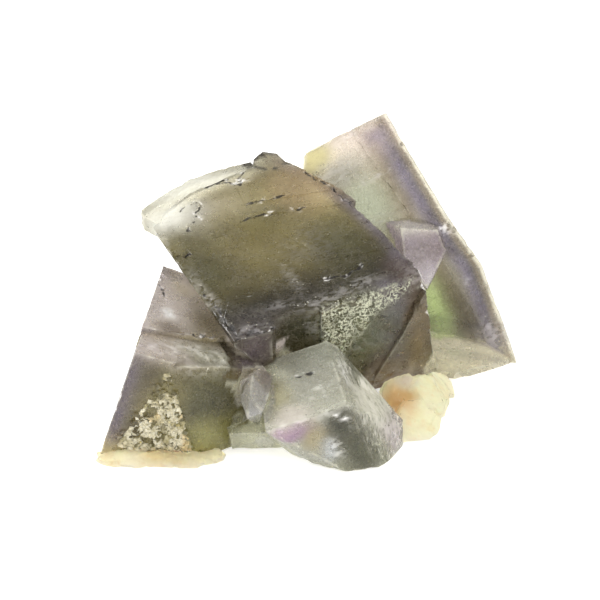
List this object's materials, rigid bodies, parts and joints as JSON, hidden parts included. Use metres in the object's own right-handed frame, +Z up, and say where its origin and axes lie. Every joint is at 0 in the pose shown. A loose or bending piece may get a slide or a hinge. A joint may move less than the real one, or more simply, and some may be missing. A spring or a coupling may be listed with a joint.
{
  "type": "fluorite specimen",
  "caption": "Cluster of intergrown see-through fluorite cubes, olive to purple, cleaved and chipped, with golden druse and remnants of stained rock.",
  "frame": {"origin": "middle of the footprint's bounding box, on the plane that the specimen rests on", "axes": "+X to the right as seen in the picture, the longest way across the cluster; +Y away from the viewer; +Z up"},
  "size_m": [0.0933, 0.0856, 0.0474],
  "materials": {
    "crystal": "clear to cloudy crystal, olive green in the middle and purple to brown in bands near the faces, glassy with cleavage steps, chips and etched patches",
    "rock_amber": "iron-stained rock, amber to cream, rough and matte",
    "rock_cream": "thin cream-yellow crust of rock, rough and matte"
  },
  "bodies": {
    "root": {"fluorite": "crystal", "matrix_right": "rock_amber", "matrix_left": "rock_cream"}
  },
  "joints": []
}
